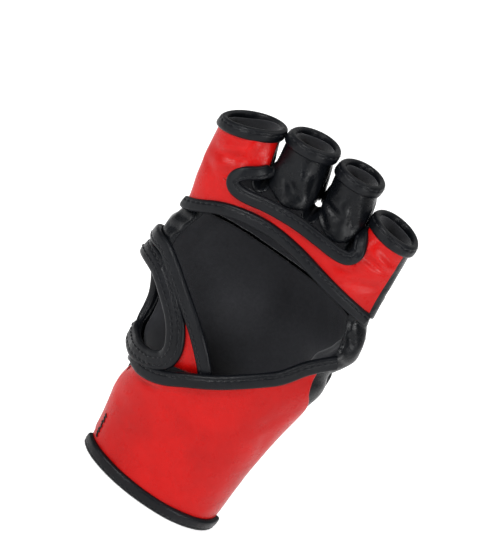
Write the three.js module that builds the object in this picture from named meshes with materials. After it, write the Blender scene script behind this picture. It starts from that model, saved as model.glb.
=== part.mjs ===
// A left-hand open-palm grappling glove, held in the shape of the hand that wears it.
// Millimetres. +Z runs from the cuff to the fingers, the palm faces -Y and the thumb points to -X.
// The glove is drawn about the middle of the cuff's lower rim; the finished group is then centred over
// its own footprint, so that the origin is under the middle of the glove.
import * as THREE from "three";

// ---------------------------------------------------------------- driving dimensions
const LEATHER = 1.6; // outer synthetic leather
const LINING = 0.9; // inner textile
const GAP = 0.35; // air between pieces that lie on each other
const BINDING_THICK = 4; // folded tape over a raw edge
const RIM_BINDING = 6; // width of the tape round a finger opening
const CUFF_BINDING = 6.5; // width of the tape along the cuff
const BRIDGE_BINDING = 6.3; // width of the tapes along the palm bridge
const THUMB_BINDING = 5; // width of the tapes on the thumb strip
const STRAP = 2; // thickness of the wrist strap
const PATCH = 1; // thickness of each half of the hook-and-loop closure
const BACK_FOAM = 9; // padding over the back of the hand
const KNUCKLE_FOAM = 12; // padding over the knuckles
const FINGER_FOAM = 7; // padding over each finger
const BACK_INSET = STRAP + 2 * PATCH + 3 * GAP; // how far the wrist of the back lies under the strap
const FOLD_HEIGHT = 126; // the crease between the back of the hand and the knuckles
const FOLD_GAP = 1.5; // half of the channel between the two pads at that crease
const KNUCKLE_TOP = 152; // where the knuckle pad ends and the fingers start
const TAB_EDGES = [6, 45]; // lower and upper edge of the closing tab
const SEAM_ANGLE = 4; // where the strap is sewn to the back, on the little finger's side
const STRAP_TURN = -166; // where the strap turns the corner at the thumb
const TAB_END = -296; // where the tab ends on the back of the wrist

// The form of the hand from cuff to knuckles, as half ellipses towards the palm and the back.
const FORM_HEIGHTS = [0, 25, 50, 75, 95, 112, 128, 142, 156];
const FORM_CENTRE = [0, -2, -4.5, -7, -9, -10, -11, -14, -16];
const FORM_HALF_WIDTH = [35.5, 37.5, 41.5, 47, 53, 56, 52.5, 53, 54];
const FORM_PALM_DEPTH = [25, 26, 28, 29, 26.5, 22.5, 20, 19.5, 19];
const FORM_BACK_DEPTH = [25, 25.5, 26.5, 29, 31, 32, 32, 31, 29];

// Each finger: the base and top of its centre line (x, z), half widths there, and the tilt of its ends.
const FINGERS = {
  index: { base: [-55, 153], top: [-58.4, 178], half: [13.4, 15], tilt: 22, baseTilt: 12 },
  middle: { base: [-25, 157], top: [-30.4, 187.6], half: [11.8, 11.3], tilt: 9, baseTilt: 4 },
  ring: { base: [2.2, 157], top: [-4, 188.2], half: [10.2, 9.6], tilt: 5, baseTilt: 0 },
  little: { base: [27, 153], top: [25.4, 176.6], half: [10.4, 9.4], tilt: -5, baseTilt: -3 },
};
const SLEEVE_PALM_DEPTH = 13;
const SLEEVE_BACK_DEPTH = [24, 17]; // at the base and at the rim
const SLEEVE_CLEARANCE = 4; // between the knuckle pad and a sleeve

const RED = { color: 0xd21c1a, roughness: 0.38, metalness: 0 };
const BLACK = { color: 0x17191c, roughness: 0.45, metalness: 0 };
const TAPE = { color: 0x1d2024, roughness: 0.5, metalness: 0 };
const CLOTH = { color: 0x141416, roughness: 0.9, metalness: 0 };
const FOAM = { color: 0x3a3a3c, roughness: 0.95, metalness: 0 };

// ---------------------------------------------------------------- small tools
const { sin, cos, PI, min, max, sqrt, hypot } = Math;
const rad = THREE.MathUtils.degToRad;
const lerp = THREE.MathUtils.lerp;
const smooth = THREE.MathUtils.smoothstep;

const table = (xs, ys) => {
  const curve = new THREE.CubicInterpolant(xs, ys, 1);
  return (x) => curve.evaluate(THREE.MathUtils.clamp(x, xs[0], xs[xs.length - 1]))[0];
};
const formCentre = table(FORM_HEIGHTS, FORM_CENTRE);
const formHalf = table(FORM_HEIGHTS, FORM_HALF_WIDTH);
const formPalm = table(FORM_HEIGHTS, FORM_PALM_DEPTH);
const formBack = table(FORM_HEIGHTS, FORM_BACK_DEPTH);

// A point of the form: 0 degrees is the little finger's side, -90 the palm, 180 the thumb, 90 the back.
function formPoint(degrees, z, inset = 0) {
  const c = cos(rad(degrees));
  const s = sin(rad(degrees));
  const depth = s < 0 ? formPalm(z) : formBack(z);
  return new THREE.Vector3(formCentre(z) + (formHalf(z) - inset) * c, (depth - inset) * s, z);
}

// The form's outward direction, level with the ground.
function formNormal(degrees, z) {
  const c = cos(rad(degrees));
  const s = sin(rad(degrees));
  const depth = s < 0 ? formPalm(z) : formBack(z);
  return new THREE.Vector3(c / formHalf(z), s / depth, 0).normalize();
}

// A closed solid from points and triangles, with its faces turned outwards.
function solid(points, triangles) {
  let volume = 0;
  for (const [a, b, c] of triangles) volume += points[a].dot(points[b].clone().cross(points[c]));
  const index = volume > 0 ? triangles.flat() : triangles.flatMap(([a, b, c]) => [a, c, b]);
  const geometry = new THREE.BufferGeometry().setFromPoints(points).setIndex(index);
  geometry.computeVertexNormals();
  return geometry;
}

// The solid between two surfaces over the unit square. With wrap, u = 0 and u = 1 are one line.
function slab(outer, inner, across, along, wrap = false) {
  const columns = wrap ? across : across + 1;
  const points = [];
  for (const surface of [outer, inner])
    for (let j = 0; j <= along; j++)
      for (let i = 0; i < columns; i++) points.push(surface(i / across, j / along));
  const at = (side, i, j) => side * columns * (along + 1) + j * columns + (i % columns);
  const triangles = [];
  const quad = (a, b, c, d) => triangles.push([a, b, c], [a, c, d]);
  for (let i = 0; i < across; i++) {
    for (let j = 0; j < along; j++) {
      quad(at(0, i, j), at(0, i + 1, j), at(0, i + 1, j + 1), at(0, i, j + 1));
      quad(at(1, i, j), at(1, i, j + 1), at(1, i + 1, j + 1), at(1, i + 1, j));
    }
    quad(at(0, i, 0), at(1, i, 0), at(1, i + 1, 0), at(0, i + 1, 0));
    quad(at(0, i, along), at(0, i + 1, along), at(1, i + 1, along), at(1, i, along));
  }
  if (!wrap)
    for (let j = 0; j < along; j++) {
      quad(at(0, 0, j), at(0, 0, j + 1), at(1, 0, j + 1), at(1, 0, j));
      quad(at(0, across, j), at(1, across, j), at(1, across, j + 1), at(0, across, j + 1));
    }
  return solid(points, triangles);
}

// A folded tape along a path: an eight-sided bar, `wide` in the surface and `thick` across it.
function tape(path, outward, wide, thick, steps, closed = false) {
  const chamfer = thick / 4;
  const w = wide / 2;
  const h = thick / 2;
  const section = [
    [w, h - chamfer],
    [w - chamfer, h],
    [chamfer - w, h],
    [-w, h - chamfer],
    [-w, chamfer - h],
    [chamfer - w, -h],
    [w - chamfer, -h],
    [w, chamfer - h],
  ];
  const sides = section.length;
  const rings = closed ? steps : steps + 1;
  const points = [];
  const step = 1e-3;
  for (let i = 0; i < rings; i++) {
    const t = i / steps;
    const behind = closed ? (t - step + 1) % 1 : max(0, t - step);
    const ahead = closed ? (t + step) % 1 : min(1, t + step);
    const along = path(ahead).sub(path(behind)).normalize();
    const side = along.clone().cross(outward(t)).normalize();
    const out = side.clone().cross(along);
    for (const [x, y] of section)
      points.push(path(t).addScaledVector(side, x).addScaledVector(out, y));
  }
  const triangles = [];
  for (let i = 0; i < steps; i++)
    for (let k = 0; k < sides; k++) {
      const a = i * sides + k;
      const b = i * sides + ((k + 1) % sides);
      const c = ((i + 1) % rings) * sides + k;
      const d = ((i + 1) % rings) * sides + ((k + 1) % sides);
      triangles.push([a, b, d], [a, d, c]);
    }
  if (!closed)
    for (let k = 1; k < sides - 1; k++) {
      const last = steps * sides;
      triangles.push([0, k + 1, k], [last, last + k, last + k + 1]);
    }
  return solid(points, triangles);
}

function curve(...points) {
  const line = new THREE.CatmullRomCurve3(points.map((p) => new THREE.Vector3(...p)));
  return (t) => line.getPointAt(t);
}

function piece(name, geometry, material) {
  const mesh = new THREE.Mesh(geometry, new THREE.MeshStandardMaterial(material));
  mesh.name = name;
  return mesh;
}

function body(...meshes) {
  const group = new THREE.Group();
  group.add(...meshes);
  return group;
}

// A patch of the form between two angles and two heights (or functions of the share across or height).
function formPatch(angles, heights, insets, across, along) {
  const surface = (side) => (u, v) => {
    const z = lerp(heights[0](u), heights[1](u), v);
    const degrees = lerp(angles[0](z), angles[1](z), u);
    return formPoint(degrees, z, insets[side](u, z, degrees));
  };
  return slab(surface(0), surface(1), across, along);
}
const level = (value) => () => value;

// How much longer a line at a changing height round the form is than its shadow on the ground.
function slant(height, degrees) {
  const a = formPoint(degrees - 1, height(degrees - 1));
  const b = formPoint(degrees + 1, height(degrees + 1));
  return a.distanceTo(b) / hypot(a.x - b.x, a.y - b.y);
}

// ---------------------------------------------------------------- back of the hand
const backUlnarEdge = table([0, 88, 108, 124], [-14, -12, 5, 8]);
const backRadialEdge = table([0, 44, 54, 64, 76, 88, 98, 124], [198, 196, 182, 163, 155, 161, 172, 176]);
// The back lies deeper where the tab crosses it and where the strap front overlaps its edge.
const underTab = (z) => 1 - smooth(z, 50, 66);
const underFront = (z, degrees) => (1 - smooth(degrees, 6, 20)) * (1 - smooth(z, 116, 122));
const backInset = (z, degrees) => BACK_INSET * max(underTab(z), underFront(z, degrees));
const overPad = (u, z) => sqrt(sin(PI * u)) * smooth(z, 50, 68);
const backTop = FOLD_HEIGHT - FOLD_GAP;
const backEdges = [backUlnarEdge, backRadialEdge];
const liningInset = (u, z, degrees) =>
  backInset(z, degrees) + LEATHER + 2 * GAP + (BACK_FOAM + 2 * GAP) * overPad(u, z);
const inPad = (u) => lerp(0.2, 0.86, u);

function backCover() {
  const insets = [0, LEATHER].map((extra) => (u, z, degrees) => backInset(z, degrees) + extra);
  return formPatch(backEdges, [level(CUFF_BINDING + GAP), level(backTop)], insets, 20, 12);
}

function backLining() {
  const insets = [0, LINING].map((extra) => (u, z, d) => liningInset(u, z, d) + extra);
  return formPatch(backEdges, [level(CUFF_BINDING + GAP), level(backTop)], insets, 16, 8);
}

function backFoam() {
  const edges = [0, 1].map((u) => (z) => lerp(backUlnarEdge(z), backRadialEdge(z), inPad(u)));
  const insets = [
    (u, z, degrees) => backInset(z, degrees) + LEATHER + 2 * GAP,
    (u, z, degrees) => liningInset(inPad(u), z, degrees) - 3 * GAP,
  ];
  return formPatch(edges, [level(62), level(backTop - 1.5)], insets, 12, 5);
}

const backRimInset = BACK_INSET + LEATHER / 2 + 0.6;
function backRimBinding() {
  const z = CUFF_BINDING / 2;
  const angle = (t) => lerp(backUlnarEdge(0), backRadialEdge(0) - 4, t);
  const path = (t) => formPoint(angle(t), z, backRimInset);
  return tape(path, (t) => formNormal(angle(t), z), CUFF_BINDING, 3, 18);
}

// Round the lower and back edge of the thumb hole, then up to the crease.
function radialEdgeBinding() {
  const path = curve(
    [-37.5, -13.5, 61],
    [-43, -8.5, 60.5],
    [-47.5, -1, 61],
    [-50.5, 6.5, 66.5],
    [-53.5, 9.5, 77],
    [-58.5, 7, 88],
    [-64.5, 1.5, 98],
    [-67, -1.5, 108],
    [-65.4, -1.5, 119],
  );
  const outward = (t) => path(t).sub(new THREE.Vector3(-22, 2, path(t).z)).normalize();
  return tape(path, outward, 4.2, 3.4, 24);
}

function ulnarEdgeBinding() {
  const height = (t) => lerp(107, backTop - 2, t);
  const path = (t) => formPoint(backUlnarEdge(height(t)) - 5.6, height(t), 6.4);
  return tape(path, (t) => formNormal(0, height(t)), 4, 3.4, 3);
}

function loopPatch() {
  const inset = STRAP + PATCH + 2 * GAP;
  const angles = [level(64), level(140)];
  return formPatch(angles, [level(9), level(40)], [level(inset), level(inset + PATCH)], 10, 2);
}

// The inner panel of the wrist, which the strap covers and the thumb strip starts from.
const cuffTop = table(
  [-170, -159, -135, -118, -101, -82, -60, -44, -33, -23, -8, 6],
  [54.5, 56.6, 57.4, 61.5, 69.2, 78.8, 92.8, 104.6, 111.6, 115.5, 117, 117],
);
function wristInnerPanel() {
  const angle = (u) => lerp(-58, -158, u);
  const inset = STRAP + LINING + 2.6;
  const surface = (extra) => (u, v) =>
    formPoint(angle(u), lerp(0, cuffTop(angle(u)) - 13, v), inset + extra);
  return slab(surface(0), surface(LEATHER), 12, 5);
}

// ---------------------------------------------------------------- knuckles and palm bridge
const knuckleBase = FOLD_HEIGHT + FOLD_GAP;
const bridgeArch = table(
  [-67, -61.4, -48, -36.3, -23.2, -8.5, 8.2, 24.3, 36.7, 42],
  [123.8, 127.2, 135.4, 140.4, 142.9, 142.2, 138.3, 134.3, 131, 129.6],
);
const knuckleLiningInset = (u) => LEATHER + GAP + (KNUCKLE_FOAM + GAP) * sqrt(sin(PI * u));

function knuckleCover() {
  const angles = [level(6), level(174)];
  return formPatch(angles, [level(knuckleBase), level(KNUCKLE_TOP)], [level(0), level(LEATHER)], 18, 3);
}

function knuckleLining() {
  const insets = [knuckleLiningInset, (u) => knuckleLiningInset(u) + LINING];
  return formPatch([level(6), level(174)], [level(knuckleBase), level(KNUCKLE_TOP)], insets, 16, 2);
}

function knuckleFoam() {
  const angles = [0, 1].map((u) => level(lerp(6, 174, inPad(u))));
  const insets = [level(LEATHER + GAP), (u) => knuckleLiningInset(inPad(u)) - GAP];
  return formPatch(angles, [level(knuckleBase + 1), level(KNUCKLE_TOP - 1)], insets, 12, 2);
}

const bridgeAngle = (u) => lerp(-3, -177, u);
const archAt = (degrees) => bridgeArch(formPoint(degrees, 140).x);
const slotAt = (degrees) => KNUCKLE_TOP + 2.6 * smooth(-sin(rad(degrees)), 0.75, 0.95);
function bridgePanel(inset, thick, margin, across) {
  const surface = (extra) => (u, v) => {
    const degrees = bridgeAngle(u);
    const low = archAt(degrees) + BRIDGE_BINDING * slant(archAt, degrees) + 2 * GAP;
    return formPoint(degrees, lerp(low, slotAt(degrees) - margin, v), inset + extra);
  };
  return slab(surface(0), surface(thick), across, 2);
}

function bridgeLowerBinding() {
  const angle = (t) => lerp(-4, -176, t);
  const rise = (degrees) => (BRIDGE_BINDING / 2) * slant(archAt, degrees);
  const path = (t) => formPoint(angle(t), archAt(angle(t)) + rise(angle(t)), 1);
  return tape(path, (t) => formNormal(angle(t), 140), BRIDGE_BINDING, BINDING_THICK, 22);
}

function slotBinding() {
  const angle = (t) => lerp(-52, -117, t);
  const height = (t) => slotAt(angle(t)) + GAP + BRIDGE_BINDING / 2;
  const path = (t) => formPoint(angle(t), height(t), 1);
  return tape(path, (t) => formNormal(angle(t), 155), BRIDGE_BINDING, BINDING_THICK, 14);
}

// A gusset between two fingers, under their sleeves.
function web(left, right) {
  const x = (FINGERS[left].base[0] + FINGERS[left].half[0] + FINGERS[right].base[0]
    - FINGERS[right].half[0]) / 2;
  const saddle = (z) => (u, v) =>
    new THREE.Vector3(x + lerp(-4.5, 4.5, u), lerp(-5, 9, v), z - 2.2 * sin(PI * u));
  return slab(saddle(KNUCKLE_TOP + 0.6), saddle(KNUCKLE_TOP + 0.6 - LEATHER), 6, 2);
}

// ---------------------------------------------------------------- finger sleeves
// A point round a finger, `up` along its centre line from the base, on a ring with the rim's tilt.
function ringPoint(finger, degrees, up, inset, tilt = finger.tilt) {
  const [x0, z0] = finger.base;
  const [x1, z1] = finger.top;
  const share = up / hypot(x1 - x0, z1 - z0);
  const across = cos(rad(degrees)) * (lerp(finger.half[0], finger.half[1], share) - inset);
  const s = sin(rad(degrees));
  const back = lerp(SLEEVE_BACK_DEPTH[0], SLEEVE_BACK_DEPTH[1], share);
  const depth = (s < 0 ? SLEEVE_PALM_DEPTH : back) - inset;
  const x = lerp(x0, x1, share) + across * cos(rad(tilt));
  return new THREE.Vector3(x, s * depth, lerp(z0, z1, share) + across * sin(rad(tilt)));
}

const sleeveLength = (f) => hypot(f.top[0] - f.base[0], f.top[1] - f.base[1]);
const overFinger = (degrees) => max(0, sin(rad(degrees))) ** 2;
const sleeveLiningInset = (degrees) => LEATHER + GAP + (FINGER_FOAM + GAP) * overFinger(degrees);

// A point of a sleeve, from its lower edge (v = 0) to the binding of its rim (v = 1).
function sleevePoint(finger, degrees, v, inset) {
  const top = sleeveLength(finger) - RIM_BINDING - GAP;
  const low = ringPoint(finger, degrees, SLEEVE_CLEARANCE, inset, finger.baseTilt);
  return low.lerp(ringPoint(finger, degrees, top, inset), v);
}

function tube(finger, inset, thick, across) {
  const surface = (extra) => (u, v) =>
    sleevePoint(finger, 360 * u, v, inset(360 * u) + extra);
  return slab(surface(0), surface(thick), across, 3, true);
}

function fingerPad(finger) {
  const surface = (inset) => (u, v) => {
    const degrees = lerp(38, 142, u);
    return sleevePoint(finger, degrees, lerp(0.06, 0.94, v), inset(degrees));
  };
  return slab(surface(level(LEATHER + 2 * GAP)), surface((d) => sleeveLiningInset(d) - 2 * GAP), 8, 2);
}

function rimBinding(finger) {
  const up = sleeveLength(finger) - RIM_BINDING / 2;
  const path = (t) => ringPoint(finger, 360 * t, up, 0.8);
  const outward = (t) => path(t).sub(ringPoint(finger, 360 * t, up, 4));
  return tape(path, outward, RIM_BINDING, BINDING_THICK, 24, true);
}

function fingerBody(name) {
  const finger = FINGERS[name];
  const outer = name === "index" || name === "little" ? RED : BLACK;
  return body(
    piece(`${name}_sleeve`, tube(finger, level(0), LEATHER, 24), outer),
    piece(`${name}_lining`, tube(finger, sleeveLiningInset, LINING, 20), CLOTH),
    piece(`${name}_pad`, fingerPad(finger), FOAM),
    piece(`${name}_rim_binding`, rimBinding(finger), TAPE),
  );
}

// ---------------------------------------------------------------- thumb strip
const palmLine = curve([-64.5, -6.5, 110.4], [-58.1, -12.4, 109.8], [-49.5, -17.6, 104.2],
  [-40, -22, 97.9], [-30.2, -25.5, 91.5], [-19.4, -27.3, 83.5], [-10, -22.9, 73.2]);
const holeLine = curve([-64.8, -5.4, 98.4], [-60.5, -9.6, 98], [-54.3, -14.4, 96.5], [-45.9, -19.6, 92.5],
  [-36.3, -23.8, 86.3], [-30.3, -25.4, 79.4], [-27.3, -24.4, 71], [-29, -18.4, 61]);
const stripAlong = (line, t) => line(min(1, t + 0.02)).sub(line(max(0, t - 0.02))).normalize();
const stripAcross = (t) => holeLine(t).sub(palmLine(t));
const stripOutward = (t) => stripAlong(palmLine, t).cross(stripAcross(t)).normalize().negate();

// How large a share of the strip's width half a tape takes, since the strip runs aslant.
const tapeShare = (line, t) =>
  (THUMB_BINDING / 2 + 2 * GAP) / stripAlong(line, t).cross(stripAcross(t)).length();

function thumbStrip() {
  const surface = (out) => (u, v) => {
    const share = lerp(tapeShare(palmLine, v), 1 - tapeShare(holeLine, v), u);
    return palmLine(v).addScaledVector(stripAcross(v), share).addScaledVector(stripOutward(v), out);
  };
  return slab(surface(LEATHER / 2), surface(-LEATHER / 2), 2, 18);
}

const thumbTape = (line) => tape(line, stripOutward, THUMB_BINDING, 3.4, 20);

// ---------------------------------------------------------------- wrist strap
function strapFront(inset, thick, across) {
  const angle = (u) => lerp(SEAM_ANGLE, STRAP_TURN, u);
  const surface = (extra) => (u, v) => {
    const top = cuffTop(angle(u)) - CUFF_BINDING * slant(cuffTop, angle(u)) - 3 * GAP;
    return formPoint(angle(u), lerp(CUFF_BINDING + GAP, top, v), inset + extra);
  };
  return slab(surface(0), surface(thick), across, 5);
}

function strapFrontBinding(height) {
  const angle = (t) => lerp(SEAM_ANGLE, STRAP_TURN, t);
  const path = (t) => formPoint(angle(t), height(angle(t)), 1);
  return tape(path, (t) => formNormal(angle(t), height(angle(t))), CUFF_BINDING, BINDING_THICK, 22);
}

const belowTop = (degrees) => cuffTop(degrees) - (CUFF_BINDING / 2) * slant(cuffTop, degrees);

const TAB_START = STRAP_TURN - 6.5; // past the bend at the corner
const TAB_CORNER = 7; // radius of the tab's two free corners
const degreesPerMm = 1.9; // on the back of the wrist
function strapTab(inset, thick, margin) {
  const last = TAB_END + (margin - CUFF_BINDING) * degreesPerMm * -1;
  const angle = (u) => lerp(TAB_START, last, u);
  const surface = (extra) => (u, v) => {
    const fromEnd = (angle(u) - last) / degreesPerMm;
    const r = TAB_CORNER - 1;
    const cut = fromEnd < r ? r - sqrt(max(0, r * r - (r - fromEnd) ** 2)) : 0;
    const low = TAB_EDGES[0] + margin + GAP + cut;
    const high = TAB_EDGES[1] - margin - GAP - cut;
    return formPoint(angle(u), lerp(low, high, v), inset + extra);
  };
  return slab(surface(0), surface(thick), 18, 2);
}

// Along the lower edge, round the free end and back along the upper edge.
function strapTabBinding() {
  const half = CUFF_BINDING / 2;
  const low = TAB_EDGES[0] + half;
  const far = TAB_END - (half + 0.5) * degreesPerMm;
  const r = TAB_CORNER;
  const stops = [];
  for (let d = TAB_START; d > far + r * degreesPerMm; d -= 10) stops.push([d, low]);
  for (let k = 0; k <= 4; k++) {
    const turn = (k / 4) * (PI / 2);
    stops.push([far + (r - r * sin(turn)) * degreesPerMm, low + r - r * cos(turn)]);
  }
  const back = stops.map(([d, z]) => [d, TAB_EDGES[0] + TAB_EDGES[1] - z]).reverse();
  const outline = new THREE.CatmullRomCurve3(
    [...stops, ...back].map(([d, z]) => new THREE.Vector3(d / degreesPerMm, z, 0)));
  const at = (t) => outline.getPointAt(t);
  const path = (t) => formPoint(at(t).x * degreesPerMm, at(t).y, 1);
  const outward = (t) => formNormal(at(t).x * degreesPerMm, at(t).y);
  return tape(path, outward, CUFF_BINDING, BINDING_THICK - 0.6, 44);
}

function hookPatch() {
  const inset = STRAP + GAP;
  const angles = [level(72), level(128)];
  return formPatch(angles, [level(14), level(37)], [level(inset), level(inset + PATCH)], 8, 2);
}

// ---------------------------------------------------------------- assembly
const glove = new THREE.Group();
glove.add(
  body(
    piece("back_cover", backCover(), BLACK),
    piece("back_foam", backFoam(), FOAM),
    piece("back_lining", backLining(), CLOTH),
    piece("back_rim_binding", backRimBinding(), TAPE),
    piece("radial_edge_binding", radialEdgeBinding(), TAPE),
    piece("ulnar_edge_binding", ulnarEdgeBinding(), TAPE),
    piece("loop_patch", loopPatch(), CLOTH),
    piece("wrist_inner_panel", wristInnerPanel(), BLACK),
  ),
  body(
    piece("knuckle_cover", knuckleCover(), BLACK),
    piece("knuckle_foam", knuckleFoam(), FOAM),
    piece("knuckle_lining", knuckleLining(), CLOTH),
    piece("palm_bridge", bridgePanel(0, LEATHER, 0, 24), RED),
    piece("palm_bridge_lining", bridgePanel(LEATHER + GAP, LINING, 1, 16), CLOTH),
    piece("bridge_lower_binding", bridgeLowerBinding(), TAPE),
    piece("slot_binding", slotBinding(), TAPE),
    piece("index_middle_web", web("index", "middle"), BLACK),
    piece("middle_ring_web", web("middle", "ring"), BLACK),
    piece("ring_little_web", web("ring", "little"), BLACK),
  ),
  ...Object.keys(FINGERS).map(fingerBody),
  body(
    piece("thumb_strip", thumbStrip(), RED),
    piece("thumb_palm_binding", thumbTape(palmLine), TAPE),
    piece("thumb_hole_binding", thumbTape(holeLine), TAPE),
  ),
  body(
    piece("strap_front", strapFront(0, STRAP, 20), RED),
    piece("strap_front_lining", strapFront(STRAP + GAP, LINING, 16), CLOTH),
    piece("strap_top_binding", strapFrontBinding(belowTop), TAPE),
    piece("strap_bottom_binding", strapFrontBinding(level(CUFF_BINDING / 2)), TAPE),
  ),
  body(
    piece("strap_tab", strapTab(0, STRAP, CUFF_BINDING), RED),
    piece("strap_tab_binding", strapTabBinding(), TAPE),
    piece("hook_patch", hookPatch(), CLOTH),
  ),
);

// Centre the glove over its footprint.
const footprint = new THREE.Box3().setFromObject(glove);
glove.position.set(
  -(footprint.min.x + footprint.max.x) / 2, -(footprint.min.y + footprint.max.y) / 2, 0);

export default glove;
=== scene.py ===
"""Looks of a left-hand open-palm grappling glove, seen from the palm's side.

Places in the frame are in metres; the drawing that the pieces are made from is in mm.
"""
import math
from contextlib import contextmanager
import bpy
import bmesh
import numpy as np
from mathutils import Matrix, Vector


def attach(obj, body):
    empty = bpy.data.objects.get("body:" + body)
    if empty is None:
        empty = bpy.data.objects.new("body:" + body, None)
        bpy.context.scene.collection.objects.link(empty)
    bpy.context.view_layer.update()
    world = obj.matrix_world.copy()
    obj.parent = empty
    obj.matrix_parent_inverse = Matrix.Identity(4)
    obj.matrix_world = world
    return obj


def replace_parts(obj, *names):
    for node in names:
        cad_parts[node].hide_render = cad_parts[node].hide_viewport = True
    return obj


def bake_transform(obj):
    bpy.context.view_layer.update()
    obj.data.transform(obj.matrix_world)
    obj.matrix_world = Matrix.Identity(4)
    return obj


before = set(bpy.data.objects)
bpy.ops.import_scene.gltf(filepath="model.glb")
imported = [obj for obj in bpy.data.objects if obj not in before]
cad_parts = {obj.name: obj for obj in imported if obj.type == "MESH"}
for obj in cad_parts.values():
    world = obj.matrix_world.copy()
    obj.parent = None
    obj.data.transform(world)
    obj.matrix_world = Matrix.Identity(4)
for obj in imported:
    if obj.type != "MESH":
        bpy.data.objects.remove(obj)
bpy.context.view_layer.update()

# ---- the drawing's dimensions, in mm
MM = 0.001
SHIFT = np.array([13.478, -0.990, 0.0])  # from the drawing's origin, the middle of the cuff, to the frame's
LEATHER = 1.3
RIM_TAPE = 6.0
CUFF_TAPE = 7.0
PALM_TAPE = 6.3
THUMB_TAPE = 7.0
HOLE_TAPE = 9.6
FOLD_HEIGHT = 126.0

# Each finger: centre line from base to rim (x, z), half widths there, and the rim's tilt in degrees.
FINGERS = {
    "index": dict(base=(-55, 153), top=(-58.4, 178), half=(13.4, 15), tilt=22),
    "middle": dict(base=(-25, 157), top=(-30.4, 187.6), half=(11.8, 11.9), tilt=9),
    "ring": dict(base=(2.2, 157), top=(-4.3, 188.2), half=(10.6, 10.9), tilt=5),
    "little": dict(base=(25.8, 153), top=(23.6, 176.2), half=(11.7, 12.0), tilt=-5),
}
FINGER_PALM_DEPTH = 13.0
FINGER_BACK_DEPTH = (24.0, 17.0)  # at the base and at the rim

# Where the soft leather is drawn in: how deep, at what height, and how far up and down it fades.
LITTLE_SIDE_WAIST = (4.6, 101, 8.5)
THUMB_SIDE_WAIST = (5.2, 48, 9.0)


# ---- form of the hand
def hermite(p0, p1, d0, d1, t):
    """A cubic from p0 to p1 with the slopes d0 and d1 at its ends."""
    return (
        p0 * (1 + 2 * t) * (1 - t) ** 2
        + d0 * t * (1 - t) ** 2
        + p1 * t * t * (3 - 2 * t)
        + d1 * t * t * (t - 1)
    )


def curve_through(xs, ys):
    """A smooth function through a table."""
    xs = np.array(xs, float)
    ys = np.array(ys, float)
    slopes = np.gradient(ys, xs)

    def value(x):
        x = np.clip(x, xs[0], xs[-1])
        i = np.clip(np.searchsorted(xs, x, side="right") - 1, 0, len(xs) - 2)
        h = xs[i + 1] - xs[i]
        return hermite(ys[i], ys[i + 1], slopes[i] * h, slopes[i + 1] * h, (x - xs[i]) / h)

    return value


# The hand's form by height: middle, half width, and depth towards the palm and the back.
HEIGHTS = [0, 25, 50, 75, 95, 112, 128, 142, 156]
form_centre = curve_through(HEIGHTS, [0, -2, -4.5, -7, -9, -10, -11, -14, -16])
form_half = curve_through(HEIGHTS, [35.5, 37.5, 41.5, 47, 53, 56, 52.5, 53, 54])
form_palm = curve_through(HEIGHTS, [25, 26, 28, 29, 26.5, 22.5, 20, 19.5, 19])
form_back = curve_through(HEIGHTS, [25, 25.5, 26.5, 29, 31, 32, 32, 31, 29])


def waist(side, z):
    """How far the form is drawn in; side is 1 at the little finger's edge and -1 at the thumb's."""
    deep, height, fade = LITTLE_SIDE_WAIST if side > 0 else THUMB_SIDE_WAIST
    return math.copysign(deep * math.exp(-((z - height) / fade) ** 2) * side * side, side)


def form(degrees, z, inset=0.0):
    """A point of the hand: 0 is the little finger's side, -90 the palm, 180 the thumb, 90 the back."""
    a = math.radians(degrees)
    depth = form_palm(z) if math.sin(a) < 0 else form_back(z)
    x = form_centre(z) + (form_half(z) - inset) * math.cos(a) - waist(math.cos(a), float(z))
    return np.array([x, (depth - inset) * math.sin(a), z])


def smooth(x, low, high):
    t = min(1.0, max(0.0, (x - low) / (high - low)))
    return t * t * (3 - 2 * t)


def lerp(a, b, t):
    return a + (b - a) * t


def unit(v):
    return v / (np.linalg.norm(v) or 1.0)


def away(p, x, y=0.0):
    """The level way to p from the upright line at (x, y)."""
    return unit(p - np.array([x, y, p[2]]))


def finger_length(finger):
    (x0, z0), (x1, z1) = finger["base"], finger["top"]
    return math.hypot(x1 - x0, z1 - z0)


def ring(finger, degrees, up, inset=0.0):
    """A point round a finger, up along its centre line; -90 faces the palm and 90 the back."""
    (x0, z0), (x1, z1) = finger["base"], finger["top"]
    share = up / finger_length(finger)
    a = math.radians(degrees)
    across = math.cos(a) * (lerp(*finger["half"], share) - inset)
    depth = (FINGER_PALM_DEPTH if math.sin(a) < 0 else lerp(*FINGER_BACK_DEPTH, share)) - inset
    tilt = math.radians(finger["tilt"])
    x = lerp(x0, x1, share) + across * math.cos(tilt)
    return np.array([x, math.sin(a) * depth, lerp(z0, z1, share) + across * math.sin(tilt)])


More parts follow.
